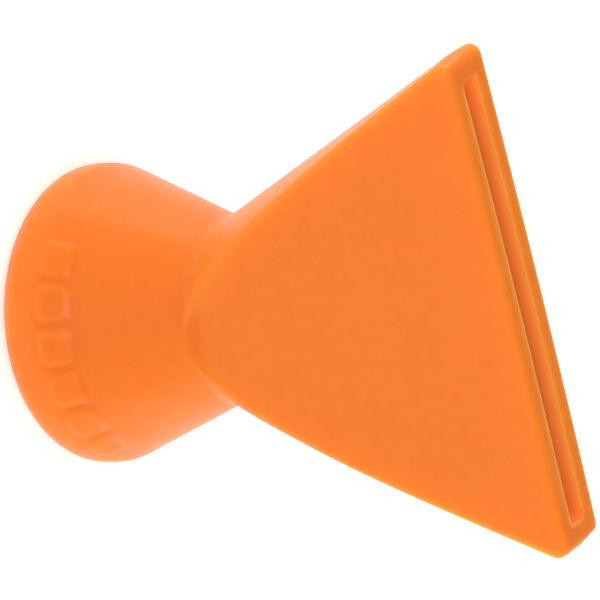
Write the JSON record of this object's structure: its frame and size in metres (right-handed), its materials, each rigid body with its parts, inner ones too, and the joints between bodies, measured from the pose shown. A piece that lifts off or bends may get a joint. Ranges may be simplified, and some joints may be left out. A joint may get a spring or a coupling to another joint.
{
  "type": "coolant hose flare nozzle",
  "caption": "One-piece moulded plastic flare nozzle: a round push-fit ball socket that narrows to a waist and fans out to a flat slotted mouth.",
  "frame": {"origin": "centre of the socket's rim, on the plane that the rim stands on", "axes": "+Z along the flow, from the socket to the mouth; X along the width of the mouth; Y through its thickness"},
  "size_m": [0.0254, 0.0148, 0.0261],
  "materials": {
    "orange_plastic": "satin moulded orange plastic, slightly translucent at its edges"
  },
  "bodies": {
    "root": {"nozzle_body": "orange_plastic"}
  },
  "joints": []
}
